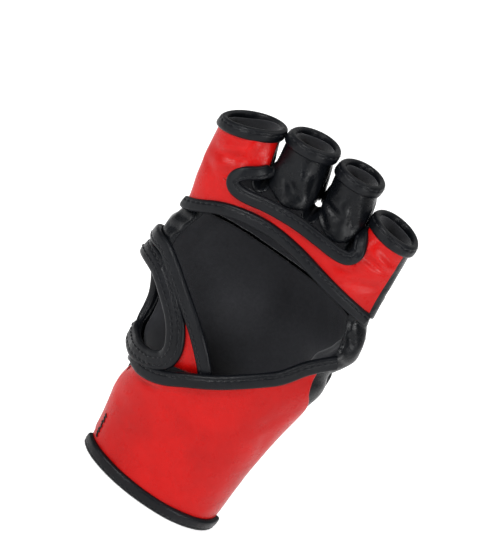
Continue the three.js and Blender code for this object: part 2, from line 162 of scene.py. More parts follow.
class Path:
    """A smooth line through points in mm, by its share of length from 0 to 1."""

    NEAR = 0.004  # share of length to both sides, for the direction

    def __init__(self, points, closed=False, steps=400):
        p = [np.array(q, float) for q in points]
        n = len(p)
        spans = n if closed else n - 1
        dense = []
        for k in range(steps + 1):
            s = k / steps * spans
            i = min(int(s), spans - 1)
            t = s - i
            a, b, c, d = (p[j % n if closed else min(max(j, 0), n - 1)] for j in range(i - 1, i + 3))
            dense.append(hermite(b, c, (c - a) / 2, (d - b) / 2, t))
        self.points = np.array(dense)
        steps_len = np.linalg.norm(np.diff(self.points, axis=0), axis=1)
        self.sums = np.concatenate([[0], np.cumsum(steps_len)])
        self.length = self.sums[-1]
        self.closed = closed

    def __call__(self, share):
        share = share % 1.0 if self.closed and share != 1.0 else min(1.0, max(0.0, share))
        s = share * self.length
        return np.array([np.interp(s, self.sums, self.points[:, k]) for k in range(3)])

    def along(self, share):
        """The direction at a share of length."""
        before, after = share - self.NEAR, share + self.NEAR
        if self.closed:
            return unit(self(after % 1.0) - self(before % 1.0))
        return unit(self(min(1.0, after)) - self(max(0.0, before)))


def traced(function, steps=160, closed=False):
    """A Path along a function of 0 to 1."""
    count = steps if closed else steps + 1
    return Path([function(k / steps) for k in range(count)], closed, steps * 2)


# ---- materials
def set_inputs(node, numbers):
    for key, number in numbers.items():
        node.inputs[key].default_value = number


class Shade:
    """A new material's node tree, with short ways to add nodes."""

    def __init__(self, name):
        self.material = bpy.data.materials.new(name)
        self.material.use_nodes = True
        self.tree = self.material.node_tree
        self.shader = self.tree.nodes["Principled BSDF"]
        self.place = self.add("TexCoord", "Object")

    def add(self, kind, output, sockets=None, numbers=None, **settings):
        """Adds a node, links and sets its inputs, and returns an output."""
        node = self.tree.nodes.new("ShaderNode" + kind)
        for key, value in settings.items():
            setattr(node, key, value)
        set_inputs(node, numbers or {})
        for key, socket in (sockets or {}).items():
            self.tree.links.new(socket, node.inputs[key])
        return node.outputs[output]

    def noise(self, scale, detail, roughness):
        return self.add("TexNoise", "Fac", {"Vector": self.place},
                        {"Scale": scale, "Detail": detail, "Roughness": roughness})

    def cells(self, scale):
        return self.add("TexVoronoi", "Distance", {"Vector": self.place}, {"Scale": scale},
                        feature="DISTANCE_TO_EDGE")

    def remap(self, value, low, high, to_low, to_high):
        return self.add("MapRange", "Result", {"Value": value},
                        {"From Min": low, "From Max": high, "To Min": to_low, "To Max": to_high})

    def tint(self, factor, dark, light):
        return self.add("Mix", 2, {0: factor}, {6: (*dark, 1), 7: (*light, 1)}, data_type="RGBA")

    def bump(self, height, strength, distance, under=None):
        sockets = {"Height": height}
        if under is not None:
            sockets["Normal"] = under
        return self.add("Bump", "Normal", sockets, {"Strength": strength, "Distance": distance})

    def link(self, key, socket):
        self.tree.links.new(socket, self.shader.inputs[key])


def leather(name, dark, light, rough, shine, crumple=0.35):
    """Coated leather: pebble grain over faint hairline creases, with uneven gloss."""
    shade = Shade(name)
    shade.link("Base Color", shade.tint(shade.remap(shade.noise(38, 4, 0.6), 0.3, 0.7, 0, 1), dark, light))
    wear = shade.noise(160, 5, 0.65)
    shade.link("Roughness", shade.remap(wear, 0.3, 0.7, rough - 0.05, rough + 0.09))
    hairlines = shade.bump(shade.noise(90, 5, 0.6), crumple, 0.0012)
    pebbles = shade.remap(shade.cells(1100), 0, 0.12, 0, 1)
    shade.link("Normal", shade.bump(pebbles, 0.25, 0.00012, hairlines))
    set_inputs(shade.shader, {"Specular IOR Level": shine})
    return shade.material


def weave(name, dark, light, scale, rough=0.85, sheen=0.25):
    """Knitted or woven cloth."""
    shade = Shade(name)
    shade.link("Base Color", shade.tint(shade.noise(scale * 0.4, 4, 0.7), dark, light))
    shade.link("Normal", shade.bump(shade.cells(scale), 0.6, 0.0003))
    set_inputs(shade.shader, {"Roughness": rough, "Sheen Weight": sheen, "Sheen Roughness": 0.5,
                              "Specular IOR Level": 0.15})
    return shade.material


RED = leather("red_leather", (0.27, 0.0016, 0.0013), (0.36, 0.0026, 0.002), 0.28, 0.13)
BLACK = leather("black_leather", (0.0012, 0.0015, 0.0021), (0.003, 0.0036, 0.0048), 0.26, 0.125, 0.6)
TAPE = leather("edge_tape", (0.0014, 0.0017, 0.0025), (0.0034, 0.0040, 0.0054), 0.31, 0.13, 0.5)
CLOTH = weave("lining_cloth", (0.006, 0.006, 0.008), (0.018, 0.019, 0.022), 1500)
LOOP = weave("loop_tape", (0.006, 0.006, 0.007), (0.024, 0.024, 0.026), 800, 0.95)
HOOK = weave("hook_tape", (0.010, 0.010, 0.011), (0.030, 0.030, 0.032), 1200, 0.7)
THREAD = weave("thread", (0.002, 0.0022, 0.003), (0.008, 0.009, 0.011), 3000, 0.5, sheen=0.05)


# ---- meshes
def shade_smooth(mesh):
    mesh.polygons.foreach_set("use_smooth", [True] * len(mesh.polygons))


def add_object(name, data):
    obj = bpy.data.objects.new(name, data)
    bpy.context.scene.collection.objects.link(obj)
    return obj


def drawn(p):
    """A place of the frame, in metres, in the drawing's mm."""
    return np.array(p) / MM - SHIFT


def at(x, y, z):
    """A place of the drawing in the frame, in metres."""
    return tuple((np.array([x, y, z]) + SHIFT) * MM)


def make(name, points, faces, materials, face_slots=None):
    """A smooth-shaded mesh object from points in the drawing's mm."""
    mesh = bpy.data.meshes.new(name)
    mesh.from_pydata(((np.array(points) + SHIFT) * MM).tolist(), [], faces)
    for material in materials:
        mesh.materials.append(material)
    if face_slots is not None:
        mesh.polygons.foreach_set("material_index", face_slots)
    shade_smooth(mesh)
    mesh.update()
    return add_object(name, mesh)


def apply_modifiers(obj):
    depsgraph = bpy.context.evaluated_depsgraph_get()
    mesh = bpy.data.meshes.new_from_object(obj.evaluated_get(depsgraph))
    obj.modifiers.clear()
    obj.data = mesh


def soften(obj):
    """Rounds a mesh off by one subdivision."""
    obj.modifiers.new("soft", "SUBSURF").levels = 1
    apply_modifiers(obj)
    shade_smooth(obj.data)


@contextmanager
def edited(mesh):
    """A mesh as a bmesh, which is written back at the end."""
    bm = bmesh.new()
    bm.from_mesh(mesh)
    yield bm
    bm.to_mesh(mesh)
    bm.free()


def face_out(obj):
    """Turns a closed mesh's faces outwards."""
    with edited(obj.data) as bm:
        bmesh.ops.recalc_face_normals(bm, faces=bm.faces)
    return obj


def quads(n, rows, wrap=False):
    """Faces of a grid of points in rows of n; wrap joins each row's end to its start."""
    faces = []
    for j in range(rows):
        for i in range(n if wrap else n - 1):
            a, b = j * n + i, j * n + (i + 1) % n
            faces.append((a, b, b + n, a + n))
    return faces


def merged(parts):
    """Points and faces of several (points, faces) as one."""
    points = []
    faces = []
    for p, f in parts:
        faces += [tuple(i + len(points) for i in face) for face in f]
        points += p
    return points, faces


def lattice(surface, columns, rows, wrap=False):
    """A grid (rows, columns, 3) of points of a surface over (u, v)."""
    us = [i / columns for i in range(columns if wrap else columns + 1)]
    return np.array([[surface(u, j / rows) for u in us] for j in range(rows + 1)])


def lattice_normals(grid, wrap):
    du = np.roll(grid, -1, 1) - np.roll(grid, 1, 1) if wrap else np.gradient(grid, axis=1)
    n = np.cross(du, np.gradient(grid, axis=0))
    return n / np.maximum(np.linalg.norm(n, axis=2, keepdims=True), 1e-9)


def slab(name, outer, inner, material, wrap=False):
    """A closed mesh between two grids."""
    m, n = outer.shape[:2]
    under = m * n
    faces = quads(n, m - 1, wrap)
    faces += [(a + under, d + under, c + under, b + under) for a, b, c, d in faces]
    for row in (0, under - n):
        for i in range(n if wrap else n - 1):
            a, b = row + i, row + (i + 1) % n
            faces.append((a, a + under, b + under, b))
    if not wrap:
        for a in (*range(0, under - n, n), *range(n - 1, under - n, n)):
            faces.append((a, a + n, a + n + under, a + under))
    points = np.concatenate([outer.reshape(-1, 3), inner.reshape(-1, 3)])
    return face_out(make(name, points, faces, [material]))


def shell(name, surface, columns, rows, material, thick=LEATHER, relief=None, flip=1, wrap=False):
    """A thin panel on a surface over (u, v), with rounded edges.

    relief(place) is a height in mm along the normal; flip turns the normal, and wrap joins u = 1 to 0.
    """
    grid = lattice(surface, columns, rows, wrap)
    normals = lattice_normals(grid, wrap) * flip
    if relief is not None:
        grid = grid + normals * np.array([[relief(p) for p in row] for row in grid])[..., None]
    obj = slab(name, grid, grid - normals * thick, material, wrap)
    soften(obj)
    return obj


def panel(node, body, surface, columns, rows, material, **how):
    """A shell that moves with a body and stands for a CAD node."""
    part = shell("vis_" + node, surface, columns, rows, material, **how)
    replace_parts(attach(part, body), node)
    return part


def patch(start, end, low, high, inset):
    """A surface on the hand's form between two angles and two heights."""
    return lambda u, v: form(lerp(start, end, u), lerp(low, high, v), inset)


# A folded tape's section, all round: (share of half width, height as a share of its thickness).
TAPE_SECTION = [
    (1.00, -0.30), (1.03, 0.05), (0.97, 0.33), (0.80, 0.49), (0.55, 0.54), (0.28, 0.54),
    (0.02, 0.53), (-0.22, 0.52), (-0.36, 0.47), (-0.44, 0.36), (-0.52, 0.44), (-0.66, 0.43),
    (-0.82, 0.36), (-0.95, 0.20), (-1.00, 0.0), (-0.97, -0.30), (-0.80, -0.48), (0.80, -0.48),
]
GROOVE = (-0.44, 0.36)
SECOND_SEAM = (0.28, 0.54)
PITCH = 3.1  # of the stitches
WOBBLE = 0.25  # how far a tape wanders off its line
STITCH_RADIUS = 0.34
STITCH_SIDES = 6
# A stitch from end to end: share of its length, of its radius, and how far it lifts in radii.
STITCH_SHAPE = ((0, 0.5, -0.5), (0.18, 1, 0.25), (0.5, 1.05, 0.5), (0.82, 1, 0.25), (1, 0.5, -0.5))


def stitch(start, end, out, radius):
    """One stitch: a short thread that dips at both ends."""
    points = []
    along = unit(end - start)
    side = unit(np.cross(along, out))
    for share, size, lift in STITCH_SHAPE:
        middle = lerp(start, end, share) + out * lift * radius
        for k in range(STITCH_SIDES):
            a = 2 * math.pi * k / STITCH_SIDES
            points.append(middle + (side * math.cos(a) + out * math.sin(a)) * radius * size)
    return points, tube_faces(len(STITCH_SHAPE), STITCH_SIDES)


def tube_faces(rings, sides, closed=False):
    """Faces of a tube of rings of points, with end caps unless it is closed."""
    total = rings * sides
    if closed:
        return [tuple(i % total for i in face) for face in quads(sides, rings, wrap=True)]
    caps = [tuple(range(sides))[::-1], tuple(range(total - sides, total))]
    return quads(sides, rings - 1, wrap=True) + caps


def tape(name, path, outward, wide, thick, flip=1, seed=0, seams=(GROOVE,)):
    """A folded tape along a path; outward(place) is the way its face looks.

    The seam with its stitches runs near one edge, and flip changes the edge.
    """
    count = max(12, int(path.length / 0.9))
    rings = count if path.closed else count + 1
    phase = np.random.default_rng(seed).uniform(0, 6.28, 4)
    points = []
    frames = []
    for i in range(rings):
        t = i / count
        middle = path(t)
        along = path.along(t)
        side = unit(np.cross(along, outward(middle))) * flip
        out = unit(np.cross(side, along)) * flip
        s = t * path.length
        pucker = 0.05 * math.cos(2 * math.pi * s / PITCH)
        drift = WOBBLE * (math.sin(s / 9.0 + phase[0]) + 0.5 * math.sin(s / 4.3 + phase[1])) * 0.25
        swell = 1 + 0.035 * math.sin(s / 6.0 + phase[2]) + 0.03 * math.sin(s / 2.7 + phase[3])
        for x, y in TAPE_SECTION:
            near = math.exp(-((x - GROOVE[0]) / 0.35) ** 2)
            height = y * thick * (1 + pucker * near) * swell
            points.append(middle + side * (x * wide / 2 + drift) + out * height)
        frames.append((side, out))
    faces = tube_faces(rings, len(TAPE_SECTION), path.closed)
    body = face_out(make(name, points, faces, [TAPE, THREAD]))
    soften(body)
    stitches = []
    total = max(2, int(path.length / PITCH))
    for k in range(total):
        for across, height in seams:
            ends = []
            for t in ((k + 0.16) / total, (k + 0.84) / total):
                i = round(t * count)
                side, out = frames[min(rings - 1, i % rings if path.closed else i)]
                ends.append(path(t) + side * (across * wide / 2) + out * (height * thick + 0.12))
            stitches.append((*ends, out))
    points, faces = merged(stitch(*ends, STITCH_RADIUS) for ends in stitches)
    return join(body, make(name + "_thread", points, faces, [TAPE, THREAD], [1] * len(faces)))


def binding(node, body, path, outward, wide, thick, **how):
    """A tape that moves with a body and stands for a CAD node."""
    part = tape("vis_" + node, path, outward, wide, thick, **how)
    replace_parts(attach(part, body), node)


def join(first, other):
    with edited(first.data) as bm:
        bm.from_mesh(other.data)
    bpy.data.objects.remove(other)
    return first


def crease(p, start, end, width, depth):
    """Height at p of a soft crease, or of a ridge where depth is below 0.

    A start and an end given as (x, z) make it on the palm's side only.
    """
    share = 1.0
    if len(start) == 2:
        share = smooth(-p[1], 0, 5)
        p = p[[0, 2]]
    away = p - np.array(start, float)
    run = np.array(end, float) - start
    t = min(1.0, max(0.0, float(away @ run) / float(run @ run)))
    d = np.linalg.norm(away - run * t) / width
    return -depth * math.exp(-d * d) * math.sin(math.pi * (0.08 + 0.84 * t)) * share


def waves(seed, count, low, high):
    """A smooth random height of about -1 to 1, over a place in mm, with waves low to high mm long."""
    rng = np.random.default_rng(seed)
    ways = rng.normal(size=(count, 3))
    ways /= np.linalg.norm(ways, axis=1, keepdims=True)
    lengths = rng.uniform(low, high, count)
    phases = rng.uniform(0, 6.28, count)

    def height(p):
        return float(np.mean(np.sin(ways @ np.array(p) * 6.28 / lengths + phases)) * math.sqrt(count) * 0.8)

    return height


BROAD = waves(3, 7, 26, 60)
FINE = waves(5, 8, 9, 20)


def wrinkled(broad, fine, creases=()):
    """A relief of waves and creases, as a function of place."""
    def height(p):
        return broad * BROAD(p) + fine * FINE(p) + sum(crease(p, *row) for row in creases)

    return height


# ---- red palm panel: bridge and two sleeves
# The height of the middle of the bridge's lower tape, by x.
bridge_middle = curve_through([-67, -61.4, -48, -36.3, -23.2, -8.5, 8.2, 24.3, 36.7, 42],
                              [126.5, 130.3, 138.8, 143.6, 146.1, 145.4, 141.4, 137.4, 133.9, 132.4])


def slot_line(degrees):
    """Where the bridge ends at the slot for the two middle fingers."""
    s = -math.sin(math.radians(degrees))
    return 150.2 + 4.4 * (smooth(s, 0.62, 0.93) if degrees < -90 else smooth(s, 0.55, 0.80))


def bridge_low(degrees):
    return float(bridge_middle(form(degrees, 140)[0])) + 1.0


def loop_bottom(table):
    """A closed smooth line through base points, by the angle round a finger."""
    first = table[0][0]
    around = [(k + 360, p) for k, p in table[:2]]
    around = [(k - 360, p) for k, p in table[-1:]] + table + around
    keys = [k for k, _ in around]
    rows = np.array([p for _, p in around], float)

    def point(degrees):
        degrees = (degrees - first) % 360 + first
        i = np.searchsorted(keys, degrees, side="right") - 1
        span = keys[i + 1] - keys[i]
        start = (rows[i + 1] - rows[i - 1]) / (keys[i + 1] - keys[i - 1]) * span
        end = (rows[i + 2] - rows[i]) / (keys[i + 2] - keys[i]) * span
        return hermite(rows[i], rows[i + 1], start, end, (degrees - keys[i]) / span)

    return point


# Where each sleeve starts, by the angle round its finger.
BASES = {
    "index": loop_bottom([
        (-180, form(-177, 150.2)), (-150, form(-164, 150.2)), (-120, form(-150, 150.2)),
        (-90, form(-138, 151)), (-70, (-52.4, -15.2, 152.5)), (-52, (-49.5, -14.2, 159)),
        (-30, (-42, -10.5, 164.5)), (0, (-40.2, -1, 164)), (30, (-40, 9, 159)),
        (60, form(121, 153)), (90, form(136, 153)), (120, form(150, 153)),
        (150, form(166, 152)),
    ]),
    "middle": loop_bottom([
        (-180, (-38.2, -2, 162)), (-140, (-36.6, -10, 160)), (-90, (-25, -15.5, 157.5)),
        (-40, (-14.6, -11, 161.5)), (0, (-13.6, -1, 165)), (30, (-14.2, 10, 161)),
        (60, form(88, 154)), (90, form(101, 154)), (120, form(113, 154)), (150, (-38, 11, 159)),
    ]),
    "ring": loop_bottom([
        (-180, (-11.4, -1, 165)), (-140, (-9.8, -10, 161.5)), (-90, (1.5, -15, 157)),
        (-40, (10.5, -10.5, 161)), (0, (12, -1, 164)), (30, (12, 10, 160)),
        (60, form(59, 154)), (90, form(71, 154)), (120, form(83, 154)), (150, (-11.2, 11, 160)),
    ]),
    "little": loop_bottom([
        (-180, (14.6, -1, 164.5)), (-150, (14.4, -9.5, 164.5)), (-125, (16, -13.2, 159.5)),
        (-105, (17.0, -14.8, 157.8)), (-90, form(-51, 155.4)), (-60, form(-33, 150.2)),
        (-30, form(-17, 150.2)), (0, form(-3, 150.2)), (30, form(14, 152)),
        (60, form(29, 153)), (90, form(42, 153)), (120, form(54, 153)), (150, (14.5, 10, 159.5)),
    ]),
}


def sleeve_point(name, degrees, v):
    """A point of a finger's sleeve, v from its base to its rim."""
    finger = FINGERS[name]
    low = BASES[name](degrees)
    length = finger_length(finger)
    top = ring(finger, degrees, length - 1.2)
    below = ring(finger, degrees, length - 6.0)
    rise = np.linalg.norm(top - low)
    start = unit(np.array([top[0] - low[0], 0.3 * (top[1] - low[1]), top[2] - low[2]]))
    palm = smooth(-math.sin(math.radians(degrees)), 0.1, 0.7)
    if name in ("index", "little"):
        start = lerp(start, np.array([0.0, 0.0, 1.0]), palm)
    if name == "index":
        start = start + np.array([0.55, 0.1, 0]) * smooth(math.cos(math.radians(degrees + 62)), 0.55, 1.0)
    if name == "little":
        start = start + np.array([-0.35, 0.1, 0]) * smooth(math.cos(math.radians(degrees + 118)), 0.6, 1.0)
    return hermite(low, top, unit(start) * rise * 0.9, unit(top - below) * rise * 0.8, v)


# Creases of the red panel: from, to, width, and depth, which is below 0 for a ridge.
RED_CREASES = [
    ((-66, 158), (-48.5, 165), 1.9, 1.2),
    ((-64, 162.5), (-51, 169), 2.8, -1.7),
    ((-64, 153), (-52, 158.5), 2.6, -1.3),
    ((-62, 163.5), (-52, 166.5), 1.5, 0.6),
    ((-57, 171.5), (-48, 174), 3.4, -1.3),
    ((-68, 152), (-57, 147.5), 2.2, 0.7),
    ((16.5, 160.5), (31.5, 158.5), 1.5, 1.3),
    ((19, 164.5), (33, 161), 1.8, -1.2),
    ((22, 168.5), (33, 163.5), 1.5, 1.0),
    ((9, 148.5), (29, 155.5), 1.8, 1.0),
    ((18, 145), (33, 150.5), 2.2, 1.2),
    ((14, 151.5), (29, 153.5), 2.0, -1.2),
    ((18, 157), (32, 156), 1.6, -0.9),
    ((-42, 149.5), (-24, 148.5), 2.4, 0.5),
    ((-2, 148.5), (12, 145), 2.2, 0.6),
]
SLEEVE_COLUMNS = 60
SLEEVE_ROWS = 20
BRIDGE_COLUMNS = 32
BRIDGE_ROWS = 12
COLUMN_STEP = 360 // SLEEVE_COLUMNS
RED_COLUMNS = {"index": range(2, 33), "little": range(6, 32)}  # the rest of the sleeve is black
BRIDGE_RED_EDGE = -20.5  # degrees; nearer to the little finger's edge the bridge is black


def bridge_skin():
    """Points, faces and material slots of the bridge, whose top edge meets both red sleeves."""
    def angle_of(point):
        centre = form_centre(point[2])
        return -math.degrees(math.atan2(-point[1] / form_palm(point[2]),
                                        (point[0] - centre) / form_half(point[2])))

    quarter = range(0, 91, COLUMN_STEP)
    little_tops = [BASES["little"](-d) for d in quarter]
    index_tops = [BASES["index"](-90 - d) for d in quarter]
    little_angles = [angle_of(top) for top in little_tops]
    index_angles = [angle_of(top) for top in index_tops]
    between = list(np.linspace(little_angles[-1], index_angles[0], BRIDGE_COLUMNS + 2)[1:-1])
    angles = little_angles + between + index_angles
    tops = little_tops + [form(a, slot_line(a)) for a in between] + index_tops
    points = []
    for j in range(BRIDGE_ROWS):
        points += [form(a, lerp(bridge_low(a), top[2], j / BRIDGE_ROWS)) for a, top in zip(angles, tops)]
    slots = [int(a > BRIDGE_RED_EDGE) for a in angles[1:]] * BRIDGE_ROWS
    return points + tops, quads(len(angles), BRIDGE_ROWS), slots


def sleeve_skin(name):
    """Points, faces and material slots of a red sleeve."""
    grid = lattice(lambda u, v: sleeve_point(name, -360 * u, v), SLEEVE_COLUMNS, SLEEVE_ROWS, wrap=True)
    slots = [int(i not in RED_COLUMNS[name]) for i in range(SLEEVE_COLUMNS)] * SLEEVE_ROWS
    return list(grid.reshape(-1, 3)), quads(SLEEVE_COLUMNS, SLEEVE_ROWS, wrap=True), slots


def faces_inward(bm):
    """Whether the index sleeve's palm side looks into the sleeve."""
    inside = Vector(at(-56, 0, 168))
    palm_side = Vector(at(-57, -13, 170))
    face = min(bm.faces, key=lambda f: (f.calc_center_median() - palm_side).length)
    return face.normal.dot(face.calc_center_median() - inside) < 0


def red_panel():
    """The bridge with the index and little sleeves as one skin, to be cut where the joints are."""
    skins = (bridge_skin(), sleeve_skin("index"), sleeve_skin("little"))
    points, faces = merged((p, f) for p, f, _ in skins)
    obj = make("red_panel", points, faces, [RED, BLACK], sum((slots for _, _, slots in skins), []))
    relief = wrinkled(0.30, 0.12, RED_CREASES)
    with edited(obj.data) as bm:
        bmesh.ops.remove_doubles(bm, verts=bm.verts, dist=0.00004)
        bmesh.ops.recalc_face_normals(bm, faces=bm.faces)
        if faces_inward(bm):
            bmesh.ops.reverse_faces(bm, faces=bm.faces)
        for _ in range(2):
            bmesh.ops.smooth_vert(bm, verts=[v for v in bm.verts if not v.is_boundary], factor=0.5,
                                  use_axis_x=True, use_axis_y=True, use_axis_z=True)
        bm.normal_update()
        for v in bm.verts:
            v.co += v.normal * (relief(drawn(v.co)) * MM)
    thick = obj.modifiers.new("thick", "SOLIDIFY")
    thick.thickness = LEATHER * MM
    thick.offset = -1
    obj.modifiers.new("soft", "SUBSURF").levels = 1
    apply_modifiers(obj)
    return obj


def cut_out(whole, name, keep):
    """A copy of part of a mesh with the whole mesh's normals, so that a cut doesn't show."""
    def key(v):
        return tuple(np.round(np.array(v.co) * 1e6).astype(int))

    mesh = whole.data.copy()
    mesh.name = name
    obj = add_object(name, mesh)
    normals = {key(v): tuple(v.normal) for v in whole.data.vertices}
    with edited(mesh) as bm:
        gone = [f for f in bm.faces if not keep(drawn(f.calc_center_median()))]
        bmesh.ops.delete(bm, geom=gone, context="FACES")
    shade_smooth(mesh)
    mesh.update()
    mesh.normals_split_custom_set_from_vertices([normals[key(v)] for v in mesh.vertices])
    return obj


CUT = 154.0  # height where the red sleeves are cut from the bridge


def blend_to_finger(part):
    """Bakes a piece's place into its mesh, without blending it between the knuckles' body and a finger's.
    """
    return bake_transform(part)


def red_pieces():
    def in_index(p):
        return p[0] < -30 and p[2] > CUT

    def in_little(p):
        return p[0] > 8 and p[2] > CUT

    whole = red_panel()
    bridge = cut_out(whole, "vis_palm_bridge", lambda p: not in_index(p) and not in_little(p))
    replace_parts(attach(bridge, "knuckles"), "palm_bridge")
    for name, inside in (("index", in_index), ("little", in_little)):
        part = cut_out(whole, f"vis_{name}_sleeve", inside)
        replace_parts(blend_to_finger(part), f"{name}_sleeve")
    bpy.data.objects.remove(whole)


red_pieces()


# ---- black sleeves
# Creases of the two middle sleeves, which bunch up over the slot.
SLEEVE_CREASES = [
    ((-28, 175), (-22, 171), 3.2, -1.2),
    ((-34, 169), (-20, 164.5), 1.7, 1.3),
    ((-31, 179), (-26, 163), 1.9, 0.8),
    ((-21, 177), (-16, 166), 1.6, 0.9),
    ((-13, 169.5), (1, 168.5), 1.4, 1.5),
    ((-10, 172.5), (0, 172), 2.0, -0.8),
    ((-11, 165.5), (-3, 160.5), 1.4, 1.4),
    ((0, 178), (8, 165), 1.7, 1.0),
]


def black_sleeve(name):
    part = shell(f"vis_{name}_sleeve", lambda u, v: sleeve_point(name, -360 * u, v),
                 SLEEVE_COLUMNS, SLEEVE_ROWS, BLACK,
                 relief=wrinkled(0.42, 0.34, SLEEVE_CREASES), flip=-1, wrap=True)
    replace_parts(blend_to_finger(part), f"{name}_sleeve")


for finger_name in ("middle", "ring"):
    black_sleeve(finger_name)


# ---- tapes on the fingers and the bridge
def rim_tape(name):
    finger = FINGERS[name]
    up = finger_length(finger) - RIM_TAPE / 2
    x = ring(finger, 90, up)[0]
    path = traced(lambda t: ring(finger, 360 * t, up, 0.5), 120, closed=True)
    binding(f"{name}_rim_binding", f"{name}_finger", path, lambda p: away(p, x, 1.0), RIM_TAPE, 3.6,
            seed=len(name))


for finger_name in FINGERS:
    rim_tape(finger_name)


def form_outward(p):
    """The way that the hand's form faces at a place."""
    depth = form_palm(p[2]) if p[1] < 0 else form_back(p[2])
    return unit(np.array([(p[0] - form_centre(p[2])) / form_half(p[2]) ** 2, p[1] / depth ** 2, 0.0]))


def bridge_tape():
    def middle(t):
        d = lerp(-21, -172, t)
        return form(d, float(bridge_middle(form(d, 140)[0])), -0.3)

    binding("bridge_lower_binding", "knuckles", traced(middle), form_outward, PALM_TAPE, 4.0,
            flip=-1, seed=4)


bridge_tape()

# The tape of the slot, from the index finger's inner side, under the slot, to the little finger's.
SLOT_TAPE_LINE = Path([
    (-38.2, 0, 166), (-39.2, -8.5, 165.4), (-42.4, -13.4, 163.2), (-47.8, -15.6, 159.6),
    (-50.4, -16, 155.2), (-48.4, -16.8, 152), (-42, -18, 151.8), (-29.6, -19.8, 155),
    (-16.3, -20.4, 156.6), (-2, -19.8, 156.1), (6.6, -18.7, 155.4), (13.2, -17.3, 156.2),
    (15.6, -15.6, 160.2), (13.9, -13, 164.4), (12.6, -8, 166.4), (12.2, 0, 167),
])
SLOT_MIDDLE = -16  # x
SLOT_CUT = -14  # x where the tape is split in two


def slot_tape():
    def outward(p):
        turn = smooth(abs(p[0] - SLOT_MIDDLE), 24, 31)
        inward = 1.0 if p[0] < SLOT_MIDDLE else -1.0
        side = np.array([inward * (0.5 + smooth(-p[1], 14, 2)), -1.0, 0.45])
        return unit(lerp(form_outward(p), unit(side), turn * smooth(p[2], 158, 163)))

    whole = tape("slot", SLOT_TAPE_LINE, outward, 6.6, 3.8, seed=8)
    left = cut_out(whole, "vis_slot_binding_index", lambda p: p[0] < SLOT_CUT)
    right = cut_out(whole, "vis_slot_binding_little", lambda p: p[0] >= SLOT_CUT)
    bpy.data.objects.remove(whole)
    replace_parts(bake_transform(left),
                "slot_binding")
    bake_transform(right)


slot_tape()


def web(node, left, right, height):
    """The saddle between two fingers."""
    def surface(u, v):
        z = height - 3.4 * math.sin(math.pi * u) - 5 * (2 * v - 1) ** 2
        return np.array([lerp(left, right, u), lerp(-13.5, 12, v), z])

    panel(node, "knuckles", surface, 8, 12, BLACK, thick=1.2, relief=wrinkled(0, 0.4))


web("index_middle_web", -43, -35.5, 163.5)
web("middle_ring_web", -16, -9, 165.0)
web("ring_little_web", 9.5, 16.5, 164.5)


# ---- thumb strip and its tapes
PALM_TAPE_LINE = Path([
    (-60.5, 10.5, 104), (-66.6, 4.5, 105), (-64.6, -6.4, 106.2), (-57.6, -13.2, 106.5),
    (-50.4, -17.4, 103.4), (-40.5, -22.1, 97.7), (-30.2, -25.7, 91.5), (-20.6, -27.6, 84.6),
    (-10.5, -27, 75), (-7, -25, 69),
])
HOLE_TAPE_LINE = Path([
    (-58.5, 10.5, 95), (-65.4, 5, 96.4), (-63.6, -5.6, 98.2), (-54.2, -14.8, 97.4),
    (-45.9, -19.9, 93.2), (-36.3, -24, 86.6), (-30.3, -25.8, 79.6), (-27, -26, 72),
    (-28, -24.2, 65), (-34.2, -20.2, 59.6), (-42, -12.4, 57), (-47.2, -1, 57), (-48.6, 5, 60),
])
STRIP_SHARE = 0.70  # how far along the hole's tape the strip goes


def thumb_out(p):
    return unit(form_outward(p) + np.array([0, -0.15, 0.1]))


def thumb_strip():
    def surface(u, v):
        """From the palm's tape (u = 0) to the hole's (u = 1)."""
        p = lerp(PALM_TAPE_LINE(lerp(0.06, 1, v)), HOLE_TAPE_LINE(lerp(0.05, STRIP_SHARE, v)), u)
        return p - thumb_out(p) * 0.9

    panel("thumb_strip", "thumb_loop", surface, 18, 48, RED, relief=wrinkled(0.16, 0.1))
    binding("thumb_palm_binding", "thumb_loop", PALM_TAPE_LINE, thumb_out, THUMB_TAPE, 3.2,
            flip=-1, seed=11)
    hole = tape("vis_thumb_hole_binding", HOLE_TAPE_LINE, thumb_out, HOLE_TAPE, 3.8,
                seed=12, seams=(GROOVE, SECOND_SEAM))
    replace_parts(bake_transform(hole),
                "thumb_hole_binding")


thumb_strip()


# ---- wrist strap
# The height of the strap's upper edge, by angle.
cuff_edge = curve_through([-170, -159, -135, -118, -101, -82, -60, -44, -33, -23, -8, 6],
                          [54.5, 56.6, 57.4, 61.5, 69.2, 78.8, 92.8, 104.6, 112.4, 117.6, 120, 120])
# The angle where the strap's red leather ends on the little finger's side, by height.
red_edge = curve_through([0, 40, 52, 58, 66, 76, 86, 98, 120], [4, 4, 1, -5, -4, -14, -27, -31, -31])
STRAP_ENDS = (4.0, -167.0)  # degrees, at the little finger's side and the thumb's
STRAP_CREASES = [
    ((-38, 47), (-20, 52.5), 2.2, 1.5),
    ((-20, 52.5), (-9, 60), 2.4, 0.8),
    ((-36, 51), (-14, 60), 2.0, -0.6),
    ((-40, 36), (-26, 30), 4.0, 0.5),
    ((30, -17, 66), (38, -6, 40), 3.2, 0.55),
    ((34, -12, 84), (26, -21, 60), 4.0, 0.4),
    ((-6, -26, 22), (22, -20, 12), 5.0, 0.35),
]


def cuff_top(degrees):
    return float(cuff_edge(degrees))


def cuff_tape_middle(degrees):
    """The middle of the tape on the cuff's upper edge."""
    before, after = (form(d, cuff_top(d)) for d in (degrees - 1, degrees + 1))
    run = math.hypot(after[0] - before[0], after[1] - before[1])
    return form(degrees, cuff_top(degrees) - 3.4 * np.linalg.norm(after - before) / run, -0.3)


